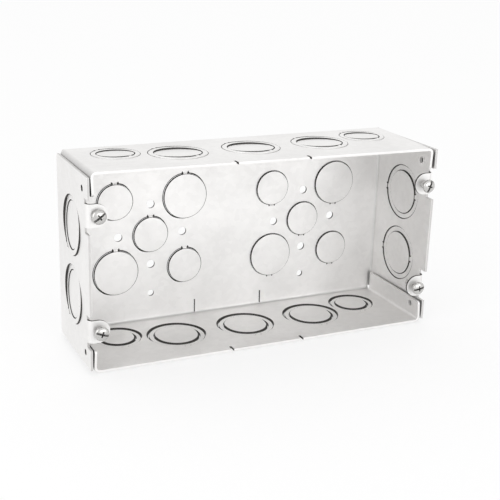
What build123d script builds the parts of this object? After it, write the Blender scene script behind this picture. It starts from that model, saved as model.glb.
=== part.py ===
from build123d import *
import os

# Steel multi-gang electrical box, opening forward, with its four cover screws.
# Millimetres. The mounting face is y = 0, the rim is at y = -depth, x runs along the box and z is up.

# Folded box
length = 219.1  # over the end walls, 8 5/8 in
height = 114.3  # over the long walls, 4 1/2 in
depth = 63.5  # rim to mounting face, 2 1/2 in
sheet = 1.6  # steel thickness
bend_radius = 1.6  # inside radius of every fold
end_wall_drop = 1.85  # from a long wall's outer face to the end wall's edge
corner_relief = 1.0  # clear of the folds where three walls meet

# Flanges on the long walls, tucked inside the end walls
flange_height = 13.7  # from the long wall's outer face
flange_gap = 0.4  # between flange and end wall
corner_hole_diameter = 3.7  # through flange and end wall
corner_hole_from_rim = 9.6
corner_hole_from_edge = 9.6  # from the long wall's outer face

# Cover ears, folded inwards from the end walls
ear_width = 13.4
ear_reach = 12.4  # from the end wall's outer face to the round end
ear_setback = 2.4  # front of the ear behind the rim
ear_relief = 3.0  # notch clearance each side of an ear
notch_clearance = 0.5  # straight wall between the notch's floor and the ear's fold

# Cover screws, number 8 pan heads
screw_inset = 6.6  # from the end wall's outer face
screw_from_edge = 23.8  # from the long wall's outer face
screw_diameter = 4.17
screw_length = 12.7
head_diameter = 8.2
head_height = 2.4
slot_width = 1.2
slot_depth = 1.1
thread_clearance = 0.05  # round the shank in its tapped hole
standoff_top_left = 1.6  # under the head, above the ear
standoff_top_right = 4.6
standoff_bottom_left = 2.8
standoff_bottom_right = 3.2

# Knockouts, named for the conduit that they take
half_inch = 22.2
three_quarter_inch = 28.2
one_inch = 34.8
knockout_flats = 24  # round each outline, few because 76 such edges repeat
ring_web = 0.4  # uncut metal that holds a ring in its wall
slug_web = 0.2  # uncut metal that holds a slug in its ring or in the back

# Places of the knockouts
long_wall_pitch = 46.0
long_wall_from_back = 31.0
outer_knockout_x = 80.7
outer_knockout_from_back = 22.6
end_wall_bridge = 6.4  # metal between the two knockouts of an end wall
end_wall_from_back = 31.6
group_x = 52.2  # centre of each group in the back
group_offset = 22.4  # from a group's centre to its outer knockouts, both ways

# Holes and slots in the back and rim
mounting_hole_diameter = 5.2
mounting_hole_x = 20.7  # from a group's centre
mounting_hole_z = 19.2
ground_hole_diameter = 4.1
ground_hole_below = 38.2  # under a group's centre
partition_x = 23.0  # places of the removable partitions
partition_slot_width = 0.8
partition_slot_length = 9.0
rim_notch_width = 1.5
rim_notch_depth = 4.5

# Derived sizes
outer_bend = bend_radius + sheet
rim = -depth
end_wall_height = height - 2 * end_wall_drop
channel_half = length / 2 - outer_bend - corner_relief
flange_face = length / 2 - sheet - flange_gap
flange_end = -(outer_bend + corner_relief)
ear_front = rim + ear_setback
ear_end = ear_reach - ear_width / 2  # where an ear's round end starts
notch_depth = ear_setback + outer_bend + notch_clearance
screw_x = length / 2 - screw_inset
screw_z = height / 2 - screw_from_edge
corner_hole_z = height / 2 - corner_hole_from_edge
corner_hole_y = rim + corner_hole_from_rim
ring_push = sheet - ring_web  # rings stand out of their wall
slug_drop = sheet - slug_web  # slugs stand this far inward from a ring or the back
end_knockout_z = (one_inch + end_wall_bridge) / 2
overcut = 1.0  # cutters reach this far past the sheet

# The five sheets seen from outside. On the four walls y runs towards the mounting face.
top = Plane(origin=(0, 0, height / 2), x_dir=(1, 0, 0), z_dir=(0, 0, 1))
bottom = Plane(origin=(0, 0, -height / 2), x_dir=(-1, 0, 0), z_dir=(0, 0, -1))
left = Plane(origin=(-length / 2, 0, 0), x_dir=(0, 0, 1), z_dir=(-1, 0, 0))
right = Plane(origin=(length / 2, 0, 0), x_dir=(0, 0, -1), z_dir=(1, 0, 0))
back = Plane(origin=(0, 0, 0), x_dir=(-1, 0, 0), z_dir=(0, 1, 0))


def folded_sheet(plane, *corners):
    """Section of a sheet: its outer line with rounded folds, thickened to the inside."""
    with BuildSketch(plane) as section:
        with BuildLine():
            FilletPolyline(*corners, radius=outer_bend)
            offset(amount=sheet, side=Side.RIGHT)
        make_face()
    return section.sketch


def pierce(face, centres, diameter):
    """Round holes through the sheet behind a face."""
    with BuildSketch(face.offset(overcut)) as holes:
        with Locations(*centres):
            Circle(diameter / 2)
    extrude(holes.sketch, amount=-(sheet + overcut + flange_gap / 2), mode=Mode.SUBTRACT)


def discs(face, centres, diameter, hole, push):
    """Discs, or rings round a hole, between a face and its offset by push."""
    with BuildSketch(face) as outlines:
        with Locations(*centres):
            RegularPolygon(diameter / 2, round(knockout_flats))
            if hole:
                RegularPolygon(hole / 2, round(knockout_flats), mode=Mode.SUBTRACT)
    extrude(outlines.sketch, amount=push)


with BuildPart() as box_body:
    # Back and end walls, one channel along z
    end_channel = folded_sheet(
        Plane.XY, (-length / 2, rim), (-length / 2, 0), (length / 2, 0), (length / 2, rim)
    )
    extrude(end_channel, amount=end_wall_height / 2, both=True)

    # Back and long walls, one channel along x
    long_channel = folded_sheet(
        Plane.YZ, (rim, height / 2), (0, height / 2), (0, -height / 2), (rim, -height / 2)
    )
    extrude(long_channel, amount=channel_half, both=True)

    # Ends of the long walls, folded into flanges behind the end walls
    for wall in (top, bottom):
        front = Plane(origin=wall.origin + (0, rim, 0), x_dir=wall.x_dir, z_dir=(0, -1, 0))
        flanges = folded_sheet(
            front,
            (-flange_face, -flange_height),
            (-flange_face, 0),
            (flange_face, 0),
            (flange_face, -flange_height),
        )
        extrude(flanges, amount=rim - flange_end)

    for wall in (left, right):
        # Notches in the rim, deep enough for the fold of an ear
        with BuildSketch(wall.offset(overcut)):
            with Locations((screw_z, rim), (-screw_z, rim)):
                Rectangle(ear_width + 2 * ear_relief, 2 * notch_depth)
        extrude(amount=-(overcut + sheet + flange_gap / 2), mode=Mode.SUBTRACT)

        # Folds of the ears, out of the wall and inwards
        for place in (screw_z, -screw_z):
            middle = Plane(origin=wall.origin + wall.x_dir * place, x_dir=(0, 1, 0), z_dir=wall.x_dir)
            fold = folded_sheet(middle, (ear_front, -ear_end), (ear_front, 0), (rim + notch_depth, 0))
            extrude(fold, amount=ear_width / 2, both=True)

    # Round ends of the ears, and their tapped holes
    ear_plane = Plane(origin=(0, ear_front, 0), x_dir=(1, 0, 0), z_dir=(0, -1, 0))
    with BuildSketch(ear_plane):
        with GridLocations(length - 2 * ear_end, 2 * screw_z, 2, 2):
            Circle(ear_width / 2)
    extrude(amount=-sheet)
    with BuildSketch(ear_plane):
        with GridLocations(2 * screw_x, 2 * screw_z, 2, 2):
            Circle(screw_diameter / 2 + thread_clearance)
    extrude(amount=-sheet, mode=Mode.SUBTRACT)

    # Holes through each flange and the end wall outside it
    with BuildSketch(left.offset(overcut)):
        with Locations((corner_hole_z, corner_hole_y), (-corner_hole_z, corner_hole_y)):
            Circle(corner_hole_diameter / 2)
    extrude(amount=-(length + 2 * overcut), mode=Mode.SUBTRACT)

    # Notches in the long rims and slots in the back, in line, for partitions
    with BuildSketch(top.offset(overcut)):
        with Locations((partition_x, rim), (-partition_x, rim)):
            Rectangle(rim_notch_width, 2 * rim_notch_depth)
    extrude(amount=-(height + 2 * overcut), mode=Mode.SUBTRACT)
    slot_middle = height / 2 - sheet - partition_slot_length / 2
    with BuildSketch(back.offset(overcut)):
        with GridLocations(2 * partition_x, 2 * slot_middle, 2, 2):
            Rectangle(partition_slot_width, partition_slot_length)
    extrude(amount=-(overcut + sheet + bend_radius / 3), mode=Mode.SUBTRACT)

    # Two groups of holes in the back, to mount and ground the box
    for centre in (-group_x, group_x):
        mounting_holes = [
            (centre, mounting_hole_z),
            (centre, -mounting_hole_z),
            (centre - mounting_hole_x, 0),
            (centre + mounting_hole_x, 0),
        ]
        pierce(back, mounting_holes, mounting_hole_diameter)
        pierce(back, [(centre, -ground_hole_below)], ground_hole_diameter)

    # Concentric knockouts: three large and two small in each long wall, two in each end wall
    middle_row = [(x, -long_wall_from_back) for x in (-long_wall_pitch, 0, long_wall_pitch)]
    outer_pair = [(x, -outer_knockout_from_back) for x in (-outer_knockout_x, outer_knockout_x)]
    end_pair = [(z, -end_wall_from_back) for z in (-end_knockout_z, end_knockout_z)]
    large_pairs = ((top, middle_row), (bottom, middle_row), (left, end_pair), (right, end_pair))
    knockouts = []
    for wall, places in large_pairs:
        knockouts.append((wall, places, one_inch, three_quarter_inch, ring_push))
        knockouts.append((wall, places, three_quarter_inch, 0, ring_push - slug_drop))
    for wall in (top, bottom):
        knockouts.append((wall, outer_pair, three_quarter_inch, half_inch, ring_push))
        knockouts.append((wall, outer_pair, half_inch, 0, ring_push - slug_drop))

    # Five single knockouts round the holes of each group
    small = []
    large = []
    for centre in (-group_x, group_x):
        small.append((centre, 0))
        for side in (-group_offset, group_offset):
            small.append((centre + side, side))
            large.append((centre + side, -side))
    knockouts.append((back, small, half_inch, 0, -slug_drop))
    knockouts.append((back, large, three_quarter_inch, 0, -slug_drop))

    # All are half sheared: each stands out of one side of the sheet and is sunk in the other
    with BuildPart(mode=Mode.SUBTRACT):
        for face, places, diameter, hole, push in knockouts:
            discs(face.offset(-sheet) if push > 0 else face, places, diameter, hole, push)
    with BuildPart():
        for face, places, diameter, hole, push in knockouts:
            discs(face if push > 0 else face.offset(-sheet), places, diameter, hole, push)

with BuildPart() as cover_screws:
    screws = (
        (-screw_x, screw_z, standoff_top_left, 35),
        (screw_x, screw_z, standoff_top_right, 70),
        (-screw_x, -screw_z, standoff_bottom_left, -20),
        (screw_x, -screw_z, standoff_bottom_right, 10),
    )
    for x, z, standoff, slot_angle in screws:
        seat = Plane(origin=(x, ear_front - standoff, z), x_dir=(1, 0, 0), z_dir=(0, -1, 0))
        with BuildSketch(seat):
            Circle(head_diameter / 2)
        extrude(amount=head_height)
        with BuildSketch(seat):
            Circle(screw_diameter / 2)
        extrude(amount=-screw_length)
        with BuildSketch(seat.offset(head_height)):
            Rectangle(head_diameter + overcut, slot_width, rotation=slot_angle)
        extrude(amount=-slot_depth, mode=Mode.SUBTRACT)

os.makedirs("parts", exist_ok=True)
box_body.part.label = "box_body"
cover_screws.part.label = "cover_screws"
export_step(box_body.part, "parts/box_body.step")
export_step(cover_screws.part, "parts/cover_screws.step")
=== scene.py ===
import math

import bmesh
import bpy
from mathutils import Matrix, Vector


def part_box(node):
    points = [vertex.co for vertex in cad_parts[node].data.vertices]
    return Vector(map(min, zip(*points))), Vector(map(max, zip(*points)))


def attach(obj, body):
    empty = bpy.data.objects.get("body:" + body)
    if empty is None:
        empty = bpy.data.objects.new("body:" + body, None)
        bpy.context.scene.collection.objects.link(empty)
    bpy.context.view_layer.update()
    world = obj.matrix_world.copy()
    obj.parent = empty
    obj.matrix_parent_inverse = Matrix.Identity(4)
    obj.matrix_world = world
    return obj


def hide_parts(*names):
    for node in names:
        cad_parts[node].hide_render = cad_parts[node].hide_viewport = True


# Long electrical box, cut from one galvanised sheet and folded, with its knockouts and cover screws.
# Lengths are millimetres and angles degrees; each finished piece is scaled to metres.

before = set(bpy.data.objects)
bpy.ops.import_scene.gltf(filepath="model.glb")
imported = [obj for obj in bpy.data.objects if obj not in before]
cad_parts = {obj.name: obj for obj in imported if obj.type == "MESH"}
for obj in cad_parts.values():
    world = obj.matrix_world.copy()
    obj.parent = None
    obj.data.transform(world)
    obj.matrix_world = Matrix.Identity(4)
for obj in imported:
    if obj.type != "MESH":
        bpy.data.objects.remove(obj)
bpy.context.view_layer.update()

MM = 0.001

# Sheet
sheet = 1.6
ring_reach = 1.2  # the most that a ring stands out of its wall
body_low, body_high = (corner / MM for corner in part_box("box_body"))
length = body_high.x - body_low.x - 2 * ring_reach
height = body_high.z - body_low.z - 2 * ring_reach
depth = body_high.y - body_low.y
outer_bend = 3.2
bend_steps = 8
eased_edge = 0.2  # roll-over of every cut edge
eased_steps = 1
sharp_angle = 35  # from which two faces meet in a visible edge
touching = 0.001  # points this close are one
level_normal = 0.99  # of a face that counts as flat
hair, near, wide = 0.1, 0.5, 1.0  # margins when a place is looked for

# Walls and flanges
end_wall_drop = 1.85  # from a long wall's outer face to the end wall's edge
corner_relief = 0.4
flange_gap = 0.4
flange_height = 13.7
flange_corner = 2.0  # rounded free corner at the rim
flange_corner_steps = 6
corner_hole = 3.7
corner_hole_inset = 9.6  # from rim and from the long wall's outer face
small_hole_steps = 24

# Ears
ear_width = 13.4
ear_reach = 12.4
ear_setback = 2.4
ear_steps = 24
ear_relief = 3.0
notch_clearance = 0.5
screw_inset = 6.6
screw_from_edge = 23.8
screw_hole = 4.27

# Knockouts
half_inch = 22.2
three_quarter_inch = 28.2
one_inch = 34.8
knockout_steps = 72
roll_steepness = 0.9  # depth over width of the rounding along a sheared circle
roll_fade, roll_spread = 2.0, 0.9  # how fast it ends, and how far past a quarter turn from its deepest side
tab_width = 2.6
tab_reach = 1.8
tab_share = 0.9  # of the sheet's thickness
tab_edge_steps = 2
# The wider lean takes in the rounding beside a cut edge, which then gets the dark bare steel as painted
# shade of the gap
wall_only, wall_and_shaded_rounding = 0.3, 0.95  # how far from upright a bare face of a cut edge may lean
nick_depth = 0.9  # cut beside each tab
nick_half_width = 0.5
torn_overlap = 0.4
torn_share = 0.4  # of the sheet's thickness, in the torn metal of a nick
long_wall_pitch = 46.0
long_wall_from_back = 31.0
outer_knockout_x = 80.7
outer_knockout_from_back = 22.6
end_wall_bridge = 6.4
end_wall_from_back = 31.6
group_x = 52.2
group_offset = 22.4

# Holes, slots and notches
hole_steps = 32
mounting_hole = 5.2
mounting_hole_x = 20.7
mounting_hole_z = 19.2
ground_hole = 4.1
ground_hole_below = 38.2
partition_x = 23.0
partition_slot_width = 0.8
partition_slot_length = 9.0
rim_notch_width = 1.5
rim_notch_depth = 4.5

# Cover screws, number 8 with 32 threads to the inch
screw_diameter = 4.17
screw_length = 12.7
thread_pitch = 25.4 / 32
thread_depth = 0.45
thread_profile = (0, -0.38, -0.5, -0.88)  # root, crest, crest and root, in pitches down the shank
thread_sunk = 0.02
thread_steps = 24
shank_steps = 32
tip_taper = 0.7
head_diameter = 8.2
head_height = 2.4
head_side = 0.9  # straight side below the dome
head_foot = 0.25  # slanted edge round the seat
head_steps = 64
dome_steps = 9
slot_width = 1.2
slot_depth = 0.9
cross_span = 4.6
cross_width = 1.1
cross_depth = 1.7
cross_taper = 0.55
worn_edge = 0.07
worn_steps = 2
worn_angle = 40  # from which an edge of the head is worn
screw_places = (  # side, level, gap under the head and turn of the slot
    (-1, 1, 1.6, 35),
    (1, 1, 4.6, 70),
    (-1, -1, 2.8, -20),
    (1, -1, 3.2, 10),
)

# Materials of the faces, in the order in which a piece carries them
# Dark bare steel of cut edges, also painted shade in gaps, laps and nicks; then a darker copy of the zinc,
# painted shade on the end walls' edges
sheared_and_shaded, edge_shade = 1, 2
# The dark zinc down in a screw's recess is painted shade
recess_shade = 1

# Handling
end_lean = 0.8  # of the right end wall's rim, and what is added at its upper end
end_twist = 0.35
flange_spring = 0.6
rim_twist = 1.0

# Grain of the finishes
crystal_size = 3.0
crystal_contrast = 0.15  # against that of the clouds
cloud_size = 45.0
cloud_low, cloud_high = 0.25, 0.9
mark_width = 0.8
mark_stretch = (0.03, 0.6, 1.0)
mark_share = 0.5  # in the sheen
mark_strength = 0.05
mark_depth = 0.05
torn_size = 0.6
fine, finer = 3.0, 4.0  # detail of the patterns
# Grey of crazed zinc in the folds, laid on also as painted shade: it dims the bright line inside each bend
# and darkens the flange's fold beside the gap at the end wall
crazed_and_shaded_zinc = "#B4B3B2"
flange_crazing_and_shade = 0.9  # shares of that grey in a fold
outer_crazing_and_shade = 0.22
inner_crazing_and_shade = 0.45

# Worked out from these
half_length = length / 2
half_height = height / 2
bend_length = outer_bend * math.pi / 2  # of the outer face round a fold
deduction = 2 * outer_bend - bend_length  # what a fold takes from the flat sheet
end_half = half_height - end_wall_drop
channel_half = half_length - outer_bend - corner_relief
flange_face = half_length - sheet - flange_gap
screw_x = half_length - screw_inset
screw_z = half_height - screw_from_edge
ear_front = depth - ear_setback  # distances from the mounting face
notch_floor = ear_front - outer_bend - notch_clearance
end_knockout_z = (one_inch + end_wall_bridge) / 2


def along_end(distance):
    """Place on the flat sheet of a point of an end wall, by its distance from the mounting face."""
    return half_length + distance - deduction


def along_long(distance):
    """The same on a long wall."""
    return half_height + distance - deduction


def along_ear(distance):
    """The same on an ear, by its distance from the end wall's outer face."""
    return along_end(ear_front) + distance - deduction


def along_flange(distance):
    """The same on a flange, by its distance from the long wall's outer face."""
    return flange_face + distance - deduction


corner_hole_depth = depth - corner_hole_inset
flange_hole = (along_flange(corner_hole_inset), along_long(corner_hole_depth))
slot_middle = half_height - sheet - partition_slot_length / 2


def arc(centre, radius, start, end, steps):
    """Points of an arc."""
    points = []
    for step in range(steps + 1):
        angle = math.radians(start + (end - start) * step / steps)
        points.append((centre[0] + radius * math.cos(angle), centre[1] + radius * math.sin(angle)))
    return points


def circle(centre, diameter, steps):
    """Points of a full circle."""
    return arc(centre, diameter / 2, 0, 360, steps)[:-1]


def nicked_circle(centre, diameter, tab_angle):
    """A sheared circle with a small cut on each side of its tab."""
    radius = diameter / 2
    nicks = [side * (tab_width / 2 + nick_half_width) / radius for side in (-1, 1)]
    reach = nick_half_width / radius
    angles = [math.radians(360 * step / knockout_steps) for step in range(knockout_steps)]
    angles += [(nick + offset * reach) % math.tau for nick in nicks for offset in (-1, 0, 1)]
    points = []
    for angle in sorted(angles):
        off = min(abs((angle - nick + math.pi) % math.tau - math.pi) for nick in nicks)
        grown = radius + nick_depth * max(0, 1 - off / reach)
        turned = angle + math.radians(tab_angle)
        points.append((centre[0] + grown * math.cos(turned), centre[1] + grown * math.sin(turned)))
    return points


def rectangle(centre, width, tall):
    """Corners of a rectangle."""
    x, y = width / 2, tall / 2
    return [(centre[0] + a * x, centre[1] + b * y) for a, b in ((-1, -1), (1, -1), (1, 1), (-1, 1))]


def outline_mesh(outlines, thick=0, ease=0):
    """Mesh between closed outlines: a flat fill, or a sheet of some thickness with eased edges."""
    curve = bpy.data.curves.new("blank", "CURVE")
    curve.dimensions = "2D"
    curve.fill_mode = "BOTH"
    curve.extrude = thick / 2 - ease
    curve.bevel_depth = ease
    curve.bevel_resolution = eased_steps
    curve.offset = -ease
    for outline in outlines:
        spline = curve.splines.new("POLY")
        spline.points.add(len(outline) - 1)
        for point, place in zip(spline.points, outline):
            point.co = (*place, 0, 1)
        spline.use_cyclic_u = True
    holder = bpy.data.objects.new("blank", curve)
    mesh = bpy.data.meshes.new_from_object(holder)
    bpy.data.objects.remove(holder)
    bpy.data.curves.remove(curve)
    return mesh


def cut_sheet(edge, holes):
    """A flat sheet with eased edges, from its outline and its holes, as a bmesh about z = 0."""
    mesh = outline_mesh([edge] + [hole[::-1] for hole in holes], sheet, eased_edge)
    bm = bmesh.new()
    bm.from_mesh(mesh)
    bmesh.ops.remove_doubles(bm, verts=bm.verts, dist=touching)
    bmesh.ops.recalc_face_normals(bm, faces=bm.faces)
    bpy.data.meshes.remove(mesh)
    return bm


def mark_sheared_and_shaded(bm, steepness, chosen, material=sheared_and_shaded):
    """Gives the cut edges at chosen places of a flat sheet another material than its faces."""
    for face in bm.faces:
        if abs(face.normal.z) < steepness and chosen(face.calc_center_median()):
            face.material_index = material


def spring_corner(bm):
    """Bends the flanges a little too far, twists the top's rim and springs the right end wall out."""
    for vert in bm.verts:
        x, y, z = vert.co
        forward = max((-y - outer_bend) / (depth - outer_bend), 0)
        along_flange_face = flange_face - 2 * sheet < abs(x) < flange_face + 2 * hair
        on_flange = along_flange_face and abs(z) > half_height - flange_height - wide
        if on_flange:
            share = min((half_height - abs(z)) / flange_height, 1)
            vert.co.x -= math.copysign(flange_spring * forward * share, x)
        if z > end_half + hair or on_flange and z > 0:
            vert.co.z -= rim_twist * forward ** 2 * x / half_length
        elif x > flange_face - ear_reach and abs(z) < end_half + hair and not on_flange:
            vert.co.x += (end_lean + end_twist * z / half_height) * forward


def linked_object(bm, name):
    """A bmesh becomes an object of the scene."""
    mesh = bpy.data.meshes.new(name)
    bm.to_mesh(mesh)
    bm.free()
    item = bpy.data.objects.new(name, mesh)
    bpy.context.scene.collection.objects.link(item)
    return item


def finish_piece(bm, name, materials, replaced):
    """A bmesh in millimetres becomes a shaded object in metres that rides on the box."""
    spring_corner(bm)
    bmesh.ops.scale(bm, vec=(MM, MM, MM), verts=bm.verts)
    piece = linked_object(bm, name)
    for polygon in piece.data.polygons:
        polygon.use_smooth = True
    piece.data.set_sharp_from_angle(angle=math.radians(sharp_angle))
    for material in materials:
        piece.data.materials.append(material)
    flat = piece.modifiers.new("flat_faces_stay_flat", "WEIGHTED_NORMAL")
    flat.keep_sharp = True
    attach(piece, "root")
    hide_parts(replaced)


def quarter_edge():
    """A quarter of the blank's outline, from the middle of an end wall's rim to that of a long wall's."""
    rim_u = along_end(depth)
    floor_u = along_end(notch_floor)
    ear_middle = along_ear(ear_reach - ear_width / 2)
    notch = ear_width / 2 + ear_relief
    flange_start = along_long(outer_bend + flange_gap)
    free_edge = along_flange(flange_height)
    rim_v = along_long(depth)
    relief_u = along_end(outer_bend) + corner_relief
    relief_v = half_height - outer_bend - corner_relief
    notch_x = partition_x + rim_notch_width / 2
    rounded = (free_edge - flange_corner, rim_v - flange_corner)
    return [
        (rim_u, screw_z - notch),
        (floor_u, screw_z - notch),
        (floor_u, screw_z - ear_width / 2),
        *arc((ear_middle, screw_z), ear_width / 2, -90, 90, ear_steps),
        (floor_u, screw_z + ear_width / 2),
        (floor_u, screw_z + notch),
        (rim_u, screw_z + notch),
        (rim_u, end_half),
        (relief_u, end_half),
        (relief_u, relief_v),
        (channel_half, relief_v),
        (channel_half, flange_start),
        (free_edge, flange_start),
        *arc(rounded, flange_corner, 0, 90, flange_corner_steps),
        (notch_x, rim_v),
        (notch_x, rim_v - rim_notch_depth),
        (notch_x - rim_notch_width, rim_v - rim_notch_depth),
        (notch_x - rim_notch_width, rim_v),
    ]


def blank_edge():
    """The whole outline: the quarter and its mirror images, in order round the sheet."""
    quarter = quarter_edge()
    edge = []
    for a, b in ((1, 1), (-1, 1), (-1, -1), (1, -1)):
        part = [(a * u, b * v) for u, v in quarter]
        edge += part if a * b > 0 else part[::-1]
    return edge


def wall_plane(origin, across, outwards):
    """Places flat work on a wall: x across it, y towards the mounting face, z out of it."""
    across, outwards = Vector(across), Vector(outwards)
    turn = Matrix((across, outwards.cross(across), outwards)).transposed().to_4x4()
    return Matrix.Translation(origin) @ turn


top = wall_plane((0, 0, half_height), (1, 0, 0), (0, 0, 1))
bottom = wall_plane((0, 0, -half_height), (-1, 0, 0), (0, 0, -1))
left = wall_plane((-half_length, 0, 0), (0, 0, 1), (-1, 0, 0))
right = wall_plane((half_length, 0, 0), (0, 0, -1), (1, 0, 0))
back = wall_plane((0, 0, 0), (-1, 0, 0), (0, 1, 0))


def flat_place(plane, x, y):
    """Where a point of a wall lies on the flat sheet."""
    if plane is top:
        return x, along_long(-y)
    if plane is bottom:
        return -x, -along_long(-y)
    if plane is left:
        return -along_end(-y), x
    if plane is right:
        return along_end(-y), -x
    return -x, y


def flat_angle(plane, angle):
    """A direction on a wall, as an angle on the flat sheet."""
    start = Vector(flat_place(plane, 0, -long_wall_from_back))
    turned = math.radians(angle)
    end = Vector(flat_place(plane, math.cos(turned), math.sin(turned) - long_wall_from_back))
    return math.degrees(math.atan2(end.y - start.y, end.x - start.x))


# How the punches left the knockouts: for ring and slug the angle of the tab, the level of the middle,
# the side that stands highest and how much higher; the gaps round both; the width of the rounding, its
# deepest side and the ring's shift away from that side; and whether the ring's edge is bare.
# A single knockout of the back has a slug, its gap and the rounding.
punched = {
    "top": ((120, 0.2, -90, 0.35), (-60, -0.1, -90, 1.0), 0.2, 0.25, (0.1, 90, 0.1), False),
    "top_ends": ((120, 0.2, -90, 0.3), (-60, 0.05, -90, 0.75), 0.15, 0.25, (0.1, 90, 0.1), False),
    "bottom": ((-90, 0.6, 0, 0.05), (90, 0.05, 0, 0.05), 0.4, 0.4, (0.8, 90, 0.25), True),
    "left": ((143, -0.1, -127, 1.2), (-90, -0.5, -127, 1.0), 0.25, 0.25, (0.2, 90, 0.0), True),
    "right": ((90, 0.4, 135, 0.15), (-90, -0.15, 45, 0.25), 0.1, 0.12, (0.15, 90, 0.0), True),
    "back_left": ((90, -0.75, 180, 0.25), 0.12, (0.6, 30, 0.0)),
    "back_right": ((-90, -0.8, 180, 0.25), 0.12, (0.2, 45, 0.0)),
}


def pair_list():
    """Concentric knockouts: wall, place, outer and inner size, and how the punches left them."""
    pairs = []
    long_walls = ((top, "top", "top_ends"), (bottom, "bottom", "bottom"))
    for plane, work, end_work in long_walls:
        for x in (-long_wall_pitch, 0, long_wall_pitch):
            place = (x, -long_wall_from_back)
            pairs.append((plane, place, one_inch, three_quarter_inch, *punched[work]))
        for x in (-outer_knockout_x, outer_knockout_x):
            place = (x, -outer_knockout_from_back)
            pairs.append((plane, place, three_quarter_inch, half_inch, *punched[end_work]))
    for plane, work in ((left, "left"), (right, "right")):
        for z in (-end_knockout_z, end_knockout_z):
            place = (z, -end_wall_from_back)
            pairs.append((plane, place, one_inch, three_quarter_inch, *punched[work]))
    return pairs


def single_list():
    """Single knockouts of the back: place, size, and how the punches left them."""
    singles = []
    for centre, work in ((-group_x, punched["back_right"]), (group_x, punched["back_left"])):
        singles.append(((centre, 0), half_inch, *work))
        for side in (-group_offset, group_offset):
            singles.append(((centre + side, side), half_inch, *work))
            singles.append(((centre + side, -side), three_quarter_inch, *work))
    return singles


def blank_holes():
    """Outlines of all holes in the flat sheet."""
    holes = []
    for plane, place, outer, _, ring_work, *_ in pair_list():
        holes.append(nicked_circle(flat_place(plane, *place), outer, flat_angle(plane, ring_work[0])))
    for place, size, work, *_ in single_list():
        holes.append(nicked_circle(flat_place(back, *place), size, flat_angle(back, work[0])))
    for a in (-1, 1):
        centre = a * group_x
        for z in (-mounting_hole_z, mounting_hole_z):
            holes.append(circle((centre, z), mounting_hole, hole_steps))
        for x in (-mounting_hole_x, mounting_hole_x):
            holes.append(circle((centre + x, 0), mounting_hole, hole_steps))
        holes.append(circle((centre, -ground_hole_below), ground_hole, hole_steps))
        for b in (-1, 1):
            slot = (a * partition_x, b * slot_middle)
            holes.append(rectangle(slot, partition_slot_width, partition_slot_length))
            corner_z = b * (half_height - corner_hole_inset)
            in_wall = (a * along_end(corner_hole_depth), corner_z)
            in_flange = (a * flange_hole[0], b * flange_hole[1])
            in_ear = (a * along_ear(screw_inset), b * screw_z)
            holes.append(circle(in_wall, corner_hole, small_hole_steps))
            holes.append(circle(in_flange, corner_hole, small_hole_steps))
            holes.append(circle(in_ear, screw_hole, small_hole_steps))
    return holes


def fold(verts, start, along):
    """Folds the part of the sheet past a line by a right angle towards the inside of the box."""
    inside = Vector((0, -1, 0))
    centre = start + inside * outer_bend
    for vert in verts:
        offset = vert.co - start
        past = offset.dot(along)
        if past <= 0:
            continue
        deep = offset.dot(inside)
        rest = offset - along * past - inside * deep
        angle = min(past / bend_length, 1) * math.pi / 2
        radius = outer_bend - deep
        beyond = max(past - bend_length, 0)
        turned = along * radius * math.sin(angle) - inside * radius * math.cos(angle)
        vert.co = centre + rest + turned + inside * beyond


def roll_over(bm, centre, radius, width, face, deep_side):
    """Widens and deepens the rounding of one face along a sheared circle, outwards for a hole's edge.

    It fades out on the side across from the deep one.
    """
    towards = Vector((math.cos(math.radians(deep_side)), math.sin(math.radians(deep_side))))
    for vert in bm.verts:
        offset = vert.co.xy - centre
        on_circle = abs(offset.length - radius) < nick_depth + 3 * eased_edge
        if on_circle and vert.co.z * face > 0:
            fade = min(max(roll_fade * offset.normalized().dot(towards) + roll_spread, 0), 1)
            share = max((vert.co.z * face - sheet / 2 + eased_edge) / eased_edge, 0)
            vert.co.xy += offset.normalized() * width * fade * share
            vert.co.z -= face * abs(width) * fade * roll_steepness * (1 - share)


def refill(bm):
    """Fills the flat inner face anew, between edges that have moved."""
    flat = [
        face for face in bm.faces
        if face.normal.z > level_normal and face.calc_center_median().z > sheet / 2 - touching
    ]
    bmesh.ops.delete(bm, geom=flat, context="FACES")
    following = {}
    for edge in bm.edges:
        if edge.is_boundary:
            corner = edge.link_loops[0]
            following[corner.vert] = corner.link_loop_next.vert
    outlines = []
    while following:
        vert = next(iter(following))
        outline = []
        while vert in following:
            outline.append(tuple(vert.co.xy))
            vert = following.pop(vert)
        outlines.append(outline)
    face = outline_mesh(outlines)
    for vert in face.vertices:
        vert.co.z = sheet / 2
    bm.from_mesh(face)
    bpy.data.meshes.remove(face)
    bmesh.ops.remove_doubles(bm, verts=bm.verts, dist=touching)
    bmesh.ops.recalc_face_normals(bm, faces=bm.faces)


def bare_edge(place):
    """Whether a cut edge at a place on the flat sheet is bare steel.

    Zinc is left on rims, notches, the sides of the walls, corner reliefs and the holes in the flanges.
    """
    u, v = abs(place.x), abs(place.y)
    on_ear = abs(v - screw_z) < ear_width / 2 + near
    on_notch = abs(v - screw_z) < ear_width / 2 + ear_relief + near
    on_end_rim = u > along_end(depth) - near and not on_ear
    in_notch = on_notch and along_end(notch_floor) - near < u < along_end(ear_front)
    on_wall_side = u > along_end(outer_bend) + 2 * wide and abs(v - end_half) < near
    in_flange_hole = (Vector((u, v)) - Vector(flange_hole)).length < corner_hole / 2 + near
    on_long_rim = v > along_long(depth) - near
    on_flange_edge = v > along_long(outer_bend) and u > along_flange(flange_height) - flange_corner
    in_relief = channel_half - near < u < along_end(outer_bend) + corner_relief + near
    on_edge = on_end_rim or on_wall_side or on_long_rim or on_flange_edge
    return not (on_edge or in_notch or in_flange_hole or in_relief)


def in_slot(place):
    """Whether a place on the flat sheet is at one of the narrow slots in the back."""
    u, v = abs(place.x), abs(place.y)
    return abs(u - partition_x) < partition_slot_width and abs(v - slot_middle) < partition_slot_length


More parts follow.
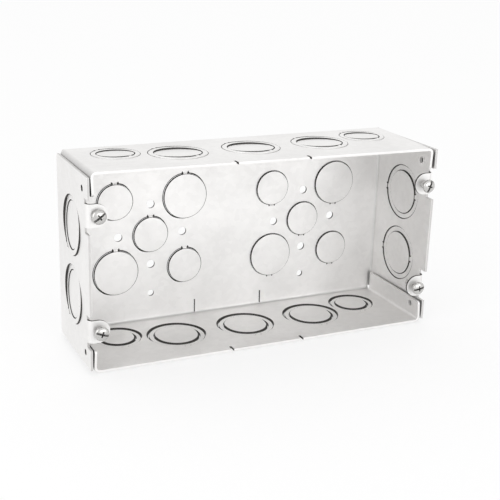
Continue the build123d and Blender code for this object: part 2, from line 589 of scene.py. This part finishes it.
def folded_box():
    """The blank, scored by cuts where it bends, then folded: ears and flanges first, then the walls."""
    bm = cut_sheet(blank_edge(), blank_holes())
    mark_sheared_and_shaded(bm, wall_only, bare_edge)
    # The cut edges of the end walls that keep their zinc take a darker copy of it: painted shade
    mark_sheared_and_shaded(bm, wall_only, lambda spot: not bare_edge(spot) and abs(spot.y) < end_half + hair, edge_shade)
    # The slots' rounding is dark too: painted shade that widens each slot's dark line
    mark_sheared_and_shaded(bm, wall_and_shaded_rounding, in_slot)
    circles = [(plane, place, outer, rest[-2]) for plane, place, outer, *rest in pair_list()]
    circles += [(back, place, size, rest[-1]) for place, size, *rest in single_list()]
    # Round each knockout hole the rounding is dark and widened towards one side: bare steel and painted
    # shade of the gap
    for plane, place, size, (rounding, deep_side, _) in circles:
        centre = Vector(flat_place(plane, *place))
        mark_sheared_and_shaded(bm, wall_and_shaded_rounding, lambda spot: (spot.xy - centre).length < size / 2 + wide)
        roll_over(bm, centre, size / 2, rounding, 1, flat_angle(plane, deep_side))
    refill(bm)
    bmesh.ops.rotate(bm, matrix=Matrix.Rotation(math.pi / 2, 3, "X"), verts=bm.verts)
    bmesh.ops.translate(bm, vec=(0, -sheet / 2, 0), verts=bm.verts)

    sideways, upwards = Vector((1, 0, 0)), Vector((0, 0, 1))
    ear_line = along_end(ear_front - outer_bend)
    flange_line = flange_face - outer_bend
    long_line = half_height - outer_bend
    end_line = half_length - outer_bend
    scores = ((sideways, ear_line), (sideways, flange_line), (upwards, long_line), (sideways, end_line))
    for direction, line in scores:
        for side in (-1, 1):
            for step in range(bend_steps + 1):
                place = direction * side * (line + bend_length * step / bend_steps)
                everything = bm.verts[:] + bm.edges[:] + bm.faces[:]
                bmesh.ops.bisect_plane(
                    bm, geom=everything, dist=touching / 2, plane_co=place, plane_no=direction
                )

    # The flanges' outer faces take the dark bare steel where they lie against the end walls: painted shade
    # of the lap
    for face in bm.faces:
        middle = face.calc_center_median()
        on_flange = abs(middle.x) > flange_line + bend_length and abs(middle.z) > end_half + wide
        if on_flange and middle.y > -hair:
            face.material_index = sheared_and_shaded

    # In the folds the zinc is crazed and grey, laid on also as painted shade: most in the middle, or
    # towards the free end of a flange's fold
    crazing_and_shade = bm.verts.layers.float.new("crazing_and_shade")
    for vert in bm.verts:
        u, v, outside = abs(vert.co.x), abs(vert.co.z), vert.co.y > -hair
        share_long, share_end, share_flange = (
            min(max(place / bend_length, 0), 1) for place in (v - long_line, u - end_line, u - flange_line)
        )
        if v > end_half + wide and share_flange > 0:
            vert[crazing_and_shade] = flange_crazing_and_shade * share_flange if share_flange < 1 and outside else 0
        else:
            share = share_end if v < end_half + hair and share_end > 0 else share_long
            vert[crazing_and_shade] = (outer_crazing_and_shade if outside else inner_crazing_and_shade) * math.sin(math.pi * share)

    ears = [v for v in bm.verts if abs(abs(v.co.z) - screw_z) < ear_width / 2 + ear_relief / 2]
    free_edge = along_flange(flange_height) + wide
    long_walls = [
        v for v in bm.verts
        if abs(v.co.z) > long_line and abs(v.co.x) < free_edge
        and (abs(v.co.z) > end_half + near or abs(v.co.x) < channel_half + near)
    ]
    flanges = [v for v in long_walls if abs(v.co.z) > along_long(outer_bend)]
    in_long_walls = set(long_walls)
    end_walls = [v for v in bm.verts if v not in in_long_walls]
    for side in (-1, 1):
        fold(ears, sideways * side * ear_line, sideways * side)
        fold(flanges, sideways * side * flange_line, sideways * side)
    for side in (-1, 1):
        fold(long_walls, upwards * side * long_line, upwards * side)
        fold(end_walls, sideways * side * end_line, sideways * side)
    return bm


def move_into(target, bm, matrix):
    """Adds one bmesh to another, in its place."""
    bmesh.ops.transform(bm, matrix=matrix, verts=bm.verts)
    mesh = bpy.data.meshes.new("part")
    bm.to_mesh(mesh)
    bm.free()
    target.from_mesh(mesh)
    bpy.data.meshes.remove(mesh)


def slanted_tab(diameter, angle, outer_level, inner_level):
    """Uncut metal across a sheared circle, drawn from one level to the other."""
    bm = bmesh.new()
    bmesh.ops.create_cube(bm, size=1)
    bmesh.ops.scale(bm, vec=(tab_reach, tab_width, sheet * tab_share), verts=bm.verts)
    for vert in bm.verts:
        vert.co.z += (outer_level if vert.co.x > 0 else inner_level) - sheet / 2
    edges = [e for e in bm.edges if abs(e.verts[0].co.y - e.verts[1].co.y) < hair]
    bmesh.ops.bevel(
        bm, geom=edges, offset=eased_edge, segments=tab_edge_steps, profile=0.5, affect="EDGES", material=-1
    )
    bmesh.ops.translate(bm, vec=(diameter / 2, 0, 0), verts=bm.verts)
    bmesh.ops.rotate(bm, matrix=Matrix.Rotation(math.radians(angle), 3, "Z"), verts=bm.verts)
    return bm


def torn_floor(diameter, angle, level):
    """Torn metal at the bottom of the two nicks beside a tab, in the dark bare steel that also paints the
    shade down in the nicks.
    """
    floors = bmesh.new()
    size = (nick_depth + torn_overlap, 2 * nick_half_width + hair, sheet * torn_share)
    around = Matrix.Rotation(math.radians(angle), 4, "Z")
    for side in (-1, 1):
        bm = bmesh.new()
        bmesh.ops.create_cube(bm, size=1)
        bmesh.ops.scale(bm, vec=size, verts=bm.verts)
        for face in bm.faces:
            face.material_index = sheared_and_shaded
        aside = side * (tab_width / 2 + nick_half_width)
        place = (diameter / 2 + nick_depth / 2, aside, level - sheet / 2)
        move_into(floors, bm, around @ Matrix.Translation(place))
    return floors


def level_at(work, angle, share=1):
    """Level of a ring or slug at an angle, at a share of its radius."""
    _, level, high_side, rise = work
    return level + rise * share * math.cos(math.radians(angle - high_side))


def hung(work, reach):
    """Place of a ring or slug as its punch left it."""
    _, level, high_side, rise = work
    along = Matrix.Rotation(math.radians(high_side), 4, "Z")
    swing = Matrix.Rotation(-math.asin(rise / reach), 4, "Y")
    return Matrix.Translation((0, 0, level - sheet / 2)) @ along @ swing @ along.inverted()


def knockout_work():
    """All rings, slugs and tabs, pushed out of their holes."""
    work = bmesh.new()
    middle = Vector((0, 0))
    for plane, place, outer, inner, ring_work, slug_work, ring_gap, slug_gap, rolled, bare in pair_list():
        rounding, deep_side, shift = rolled
        site = plane @ Matrix.Translation((*place, 0))
        ring_tab, slug_tab = ring_work[0], slug_work[0]
        ring_edge = circle(middle, outer - 2 * ring_gap, knockout_steps)
        ring = cut_sheet(ring_edge, [nicked_circle(middle, inner, slug_tab)])
        # The ring's inner edge with its rounding, its lower outer edge, and where bare its whole edge, are
        # dark bare steel, partly painted shade of the gaps
        mark_sheared_and_shaded(ring, wall_and_shaded_rounding, lambda spot: spot.xy.length < inner / 2 + wide or spot.z < 0)
        mark_sheared_and_shaded(ring, wall_only, lambda spot: bare)
        aside = Matrix.Rotation(math.radians(deep_side), 4, "Z") @ Vector((shift, 0, 0))
        move_into(work, ring, site @ Matrix.Translation(-aside) @ hung(ring_work, outer / 2))
        slug = cut_sheet(circle(middle, inner - 2 * slug_gap, knockout_steps), [])
        # The slug's edge and rounding are dark bare steel, partly painted shade of the gap round it
        mark_sheared_and_shaded(slug, wall_and_shaded_rounding, lambda spot: True)
        roll_over(slug, middle, inner / 2 - slug_gap, -rounding, -1, deep_side + 180)
        move_into(work, slug, site @ hung(slug_work, inner / 2))
        ring_level = level_at(ring_work, slug_tab, inner / outer)
        move_into(work, slanted_tab(outer, ring_tab, 0, level_at(ring_work, ring_tab)), site)
        move_into(work, torn_floor(outer, ring_tab, 0), site)
        move_into(work, slanted_tab(inner, slug_tab, ring_level, level_at(slug_work, slug_tab)), site)
        move_into(work, torn_floor(inner, slug_tab, ring_level), site)
    for place, size, slug_work, gap, _ in single_list():
        site = back @ Matrix.Translation((*place, 0))
        tab = slug_work[0]
        slug = cut_sheet(circle(middle, size - 2 * gap, knockout_steps), [])
        # The slug's edge and rounding are dark bare steel, partly painted shade of the gap round it
        mark_sheared_and_shaded(slug, wall_and_shaded_rounding, lambda spot: True)
        move_into(work, slug, site @ hung(slug_work, size / 2))
        move_into(work, slanted_tab(size, tab, 0, level_at(slug_work, tab)), site)
        move_into(work, torn_floor(size, tab, 0), site)
    return work


def box_cutter(width, tall, deep, taper):
    """A block under z = 0, narrower at its foot."""
    bm = bmesh.new()
    bmesh.ops.create_cube(bm, size=1)
    bmesh.ops.scale(bm, vec=(width, tall, 2 * deep), verts=bm.verts)
    foot = [v for v in bm.verts if v.co.z < 0]
    bmesh.ops.scale(bm, vec=(taper, taper, 1), verts=foot)
    return bm


def recess_cutter():
    """The combined slot and cross in a screw's head."""
    cutter = bmesh.new()
    at_crown = Matrix.Translation((0, 0, head_height))
    move_into(cutter, box_cutter(head_diameter + wide, slot_width, slot_depth, 1), at_crown)
    for turn in (0, math.pi / 2):
        blade = box_cutter(cross_span, cross_width, cross_depth, cross_taper)
        move_into(cutter, blade, at_crown @ Matrix.Rotation(turn, 4, "Z"))
    return cutter


def half_section(bm, profile):
    """A chain of edges through points given by radius and height."""
    verts = [bm.verts.new((radius, 0, z)) for radius, z in profile]
    return verts + [bm.edges.new(pair) for pair in zip(verts, verts[1:])]


def spun(profile, steps):
    """A closed round solid from its half section, turned about z."""
    bm = bmesh.new()
    bmesh.ops.spin(
        bm, geom=half_section(bm, profile), cent=(0, 0, 0), axis=(0, 0, 1), angle=math.tau, steps=steps,
        use_merge=True,
    )
    bmesh.ops.remove_doubles(bm, verts=bm.verts, dist=touching)
    bmesh.ops.recalc_face_normals(bm, faces=bm.faces)
    return bm


def screw_head():
    """Pan head with its recess cut in, seated on z = 0."""
    radius = head_diameter / 2
    rise = head_height - head_side
    angles = [math.radians(90 * step / dome_steps) for step in range(1, dome_steps + 1)]
    dome = [(radius * math.sin(angle), head_side + rise * math.cos(angle)) for angle in angles]
    profile = [(0, head_height), *dome, (radius, head_foot), (radius - head_foot, 0), (0, 0)]
    head = linked_object(spun(profile, head_steps), "head")
    cutter = linked_object(recess_cutter(), "recess")
    cut = head.modifiers.new("recess", "BOOLEAN")
    cut.object = cutter
    cut.solver = "EXACT"
    cut.use_self = True
    rounding = head.modifiers.new("worn_edges", "BEVEL")
    rounding.width = worn_edge
    rounding.segments = worn_steps
    rounding.limit_method = "ANGLE"
    rounding.angle_limit = math.radians(worn_angle)
    worked = head.evaluated_get(bpy.context.evaluated_depsgraph_get())
    mesh = bpy.data.meshes.new_from_object(worked)
    bm = bmesh.new()
    bm.from_mesh(mesh)
    bpy.data.meshes.remove(mesh)
    for item in (head, cutter):
        bpy.data.objects.remove(item)
    # Faces down in the recess take the dark zinc: painted shade
    for face in bm.faces:
        middle = face.calc_center_median()
        crown = head_side + rise * math.sqrt(max(1 - (middle.xy.length / radius) ** 2, 0))
        if hair < middle.z < crown - hair and middle.xy.length < radius - hair:
            face.material_index = recess_shade
    return bm


def screw_thread():
    """Shank under the head: a core, and a thread wound down it."""
    crest = screw_diameter / 2
    root = crest - thread_depth
    tip = -screw_length
    core = ((0, hair), (root, hair), (root, tip + tip_taper), (root - tip_taper, tip), (0, tip))
    shank = spun(core, shank_steps)
    turns = int((screw_length - wide) / thread_pitch) - 1
    bm = bmesh.new()
    radii = (root - thread_sunk, crest, crest, root - thread_sunk)
    profile = [(radius, part * thread_pitch) for radius, part in zip(radii, thread_profile)]
    bmesh.ops.spin(
        bm, geom=half_section(bm, profile), cent=(0, 0, 0), axis=(0, 0, 1), angle=turns * math.tau,
        steps=turns * thread_steps, dvec=(0, 0, -thread_pitch / thread_steps), use_merge=False,
    )
    bmesh.ops.recalc_face_normals(bm, faces=bm.faces)
    move_into(shank, bm, Matrix.Identity(4))
    return shank


def cover_screws():
    """The four screws, each in its ear at its own height and turn."""
    screw = screw_head()
    move_into(screw, screw_thread(), Matrix.Identity(4))
    outwards = Matrix.Rotation(math.pi / 2, 4, "X")
    screws = bmesh.new()
    for side, level, gap, turn in screw_places:
        seat = Matrix.Translation((side * screw_x, -(ear_front + gap), level * screw_z))
        move_into(screws, screw.copy(), seat @ outwards @ Matrix.Rotation(math.radians(turn), 4, "Z"))
    screw.free()
    return screws


def linear(hex_colour):
    """An sRGB hex colour as linear RGBA."""
    parts = [int(hex_colour[i:i + 2], 16) / 255 for i in (1, 3, 5)]
    return [c / 12.92 if c <= 0.04045 else ((c + 0.055) / 1.055) ** 2.4 for c in parts] + [1]


def add_node(tree, kind, settings=None, inputs=None):
    """A node with its settings, and its inputs set or linked."""
    node = tree.nodes.new(kind)
    for name, value in (settings or {}).items():
        setattr(node, name, value)
    for name, value in (inputs or {}).items():
        if isinstance(value, bpy.types.NodeSocket):
            tree.links.new(value, node.inputs[name])
        else:
            node.inputs[name].default_value = value
    return node


def noise(tree, place, size, detail):
    """Cloudy values with spots of about one size in millimetres."""
    return add_node(
        tree, "ShaderNodeTexNoise", {}, {"Vector": place, "Scale": 1 / (size * MM), "Detail": detail}
    ).outputs["Fac"]


def blend(tree, share, first, second):
    """A colour between two others."""
    return add_node(
        tree, "ShaderNodeMix", {"data_type": "RGBA"}, {"Factor": share, 6: first, 7: second}
    ).outputs[2]


def new_metal(name):
    """A plain metal: the material, its nodes, its shader and the places for its patterns."""
    material = bpy.data.materials.new(name)
    material.use_nodes = True
    tree = material.node_tree
    shader = tree.nodes["Principled BSDF"]
    shader.inputs["Metallic"].default_value = 1.0
    return material, tree, shader, add_node(tree, "ShaderNodeTexCoord").outputs["Object"]


def galvanised_steel(name, pale, deep, smooth, dull):
    """Mill galvanised sheet: pale warm grey zinc with a soft sheen, faint crystals and rolling marks.

    It is crazed and grey in the folds, partly painted shade there; its darker copy on the edges of the end
    walls is painted shade.
    """
    material, tree, shader, place = new_metal(name)

    # Zinc crystals, each turned its own way, so each a little lighter or darker
    crystals = add_node(
        tree, "ShaderNodeTexVoronoi", {},
        {"Vector": place, "Scale": 1 / (crystal_size * MM), "Randomness": 1.0},
    ).outputs["Color"]
    crystal = add_node(tree, "ShaderNodeSeparateColor", {}, {"Color": crystals}).outputs["Red"]
    # Cloudy patches from handling and from the zinc bath
    cloud = noise(tree, place, cloud_size, finer)
    # Rolling marks, long across the sheet and fine the other way
    stretched = add_node(tree, "ShaderNodeMapping", {}, {"Vector": place, "Scale": mark_stretch})
    marks = noise(tree, stretched.outputs["Vector"], mark_width, fine)

    mixed = add_node(
        tree, "ShaderNodeMath", {"operation": "MULTIPLY_ADD"}, {0: crystal, 1: crystal_contrast, 2: cloud}
    ).outputs["Value"]
    tone = add_node(
        tree, "ShaderNodeMapRange", {}, {"Value": mixed, "From Min": cloud_low, "From Max": cloud_high}
    ).outputs["Result"]
    colour = blend(tree, tone, linear(pale), linear(deep))
    # Grey of the folds from the mesh: crazed zinc and painted shade
    crazing_and_shade = add_node(tree, "ShaderNodeAttribute", {"attribute_name": "crazing_and_shade"}).outputs["Fac"]
    crazed_and_shaded = blend(tree, crazing_and_shade, colour, linear(crazed_and_shaded_zinc))
    tree.links.new(crazed_and_shaded, shader.inputs["Base Color"])
    sheen = add_node(
        tree, "ShaderNodeMath", {"operation": "MULTIPLY_ADD"}, {0: marks, 1: mark_share, 2: tone}
    ).outputs["Value"]
    rough = add_node(
        tree, "ShaderNodeMapRange", {},
        {"Value": sheen, "From Max": 1 + mark_share, "To Min": smooth, "To Max": dull},
    ).outputs["Result"]
    tree.links.new(rough, shader.inputs["Roughness"])
    relief = add_node(
        tree, "ShaderNodeBump", {},
        {"Height": sheen, "Strength": mark_strength, "Distance": mark_depth * MM},
    ).outputs["Normal"]
    tree.links.new(relief, shader.inputs["Normal"])
    return material


def grained_metal(name, dark, pale, smooth, dull, detail):
    """Metal with a fine grain in its colour and sheen."""
    material, tree, shader, place = new_metal(name)
    grain = noise(tree, place, torn_size, detail)
    tree.links.new(blend(tree, grain, linear(dark), linear(pale)), shader.inputs["Base Color"])
    rough = add_node(
        tree, "ShaderNodeMapRange", {}, {"Value": grain, "To Min": smooth, "To Max": dull}
    ).outputs["Result"]
    tree.links.new(rough, shader.inputs["Roughness"])
    return material


def sheared_steel_and_shade():
    """Bare steel of a sheared edge: torn and grey, with no zinc on it, and dark enough to serve as painted
    shade in gaps, laps and nicks.
    """
    return grained_metal("sheared_steel_and_shade", "#3A3938", "#666462", 0.6, 0.6, fine)


def zinc_plate():
    """Bright zinc plate on the screws, smoother than the sheet."""
    return grained_metal("zinc_plate", "#B4B3B1", "#DCDBD9", 0.2, 0.34, finer)


def zinc_with_recess_shade():
    """Zinc plate down in the recess of a screw, dull, and dark grey as painted shade of the recess."""
    return grained_metal("zinc_with_recess_shade", "#4C4B4A", "#8A8987", 0.4, 0.6, finer)


steel = [
    galvanised_steel("galvanised_steel", "#F5F4F3", "#E7E6E5", 0.44, 0.68),
    sheared_steel_and_shade(),
    # The darker copy of the zinc is painted shade for the end walls' edges
    galvanised_steel("edge_shaded_galvanised_steel", "#DCDBDA", "#D0CFCE", 0.6, 0.8),
]
finish_piece(folded_box(), "folded_sheet", steel, "box_body")
finish_piece(knockout_work(), "knockouts", steel, "box_body")
finish_piece(cover_screws(), "screws", [zinc_plate(), zinc_with_recess_shade()], "cover_screws")


# Studio
camera_place = (-255.35, -573.80, 191.95)
camera_yaw = -25.32
camera_pitch = -18.33
camera_roll = 1.68
camera_lens = 74.53
camera_sensor = 36.0
soft_boxes = (  # name, place, width and height in metres, and watts
    ("front_box", (0.4, -1.4, 0.17), 1.2, 0.44, 3.3),
    ("left_box", (-1.3, -0.6, 0.5), 1.0, 1.0, 4),
)
tent_bright_side = (-0.5, -0.1, 0.86)
tent_low = 0.87
tent_high = 1.07
floor_size = 4.0  # metres, half its side
floor_paper = "#F4F4F4"
floor_roughness = 0.9
floor_glow = 0.65  # share that is pure white


def photo_camera():
    """The photograph's viewpoint: its place, and its turn, tilt and roll, fitted to the box's corners."""
    data = bpy.data.cameras.new("camera")
    data.sensor_width = camera_sensor
    data.lens = camera_lens
    camera = bpy.data.objects.new("camera", data)
    yaw = Matrix.Rotation(math.radians(camera_yaw), 4, "Z")
    pitch = Matrix.Rotation(math.pi / 2 + math.radians(camera_pitch), 4, "X")
    roll = Matrix.Rotation(math.radians(camera_roll), 4, "Z")
    camera.matrix_world = Matrix.Translation(Vector(camera_place) * MM) @ yaw @ pitch @ roll
    bpy.context.scene.collection.objects.link(camera)
    bpy.context.scene.camera = camera


def area_light(name, place, width, tall, power):
    """A soft box that faces the middle of the back."""
    data = bpy.data.lights.new(name, "AREA")
    data.shape = "RECTANGLE"
    data.size = width
    data.size_y = tall
    data.energy = power
    light = bpy.data.objects.new(name, data)
    turn = Vector(place).to_track_quat("Z", "Y").to_matrix().to_4x4()
    light.matrix_world = Matrix.Translation(place) @ turn
    bpy.context.scene.collection.objects.link(light)


def white_tent():
    """Pale surroundings, brightest above the box and to its left."""
    world = bpy.data.worlds.new("white_tent")
    bpy.context.scene.world = world
    world.use_nodes = True
    tree = world.node_tree
    direction = add_node(tree, "ShaderNodeTexCoord").outputs["Generated"]
    towards = add_node(
        tree, "ShaderNodeVectorMath", {"operation": "DOT_PRODUCT"}, {0: direction, 1: tent_bright_side}
    ).outputs["Value"]
    level = add_node(
        tree, "ShaderNodeMapRange", {},
        {"Value": towards, "From Min": -1.0, "From Max": 1.0, "To Min": tent_low, "To Max": tent_high},
    ).outputs["Result"]
    shade = tree.nodes["Background"]
    shade.inputs["Color"].default_value = (1, 1, 1, 1)
    tree.links.new(level, shade.inputs["Strength"])


def pale_floor():
    """White floor, partly pure white to the eye and in the metal, so that only a soft shadow stays."""
    bm = bmesh.new()
    bmesh.ops.create_grid(bm, x_segments=1, y_segments=1, size=floor_size)
    bmesh.ops.translate(bm, vec=(0, 0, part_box("box_body")[0].z), verts=bm.verts)
    floor = linked_object(bm, "floor")
    material = bpy.data.materials.new("white_floor")
    material.use_nodes = True
    tree = material.node_tree
    paper = tree.nodes["Principled BSDF"]
    paper.inputs["Base Color"].default_value = linear(floor_paper)
    paper.inputs["Roughness"].default_value = floor_roughness
    paper.inputs["Specular IOR Level"].default_value = 0.0
    glow = add_node(tree, "ShaderNodeEmission", {}, {"Strength": 1.0})
    path = add_node(tree, "ShaderNodeLightPath").outputs
    seen = add_node(
        tree, "ShaderNodeMath", {"operation": "ADD"}, {0: path["Is Camera Ray"], 1: path["Is Glossy Ray"]}
    )
    seen = add_node(
        tree, "ShaderNodeMath", {"operation": "ADD"},
        {0: seen.outputs["Value"], 1: path["Is Transmission Ray"]},
    )
    share = add_node(
        tree, "ShaderNodeMath", {"operation": "MULTIPLY"}, {0: seen.outputs["Value"], 1: floor_glow}
    )
    mixed = add_node(
        tree, "ShaderNodeMixShader", {},
        {0: share.outputs["Value"], 1: paper.outputs["BSDF"], 2: glow.outputs["Emission"]},
    )
    tree.links.new(mixed.outputs["Shader"], tree.nodes["Material Output"].inputs["Surface"])
    floor.data.materials.append(material)


def studio():
    """Plain soft light: a white tent, two soft boxes and a pale floor."""
    bpy.context.scene.view_settings.view_transform = "Standard"
    white_tent()
    pale_floor()
    for soft_box in soft_boxes:
        area_light(*soft_box)


photo_camera()
studio()
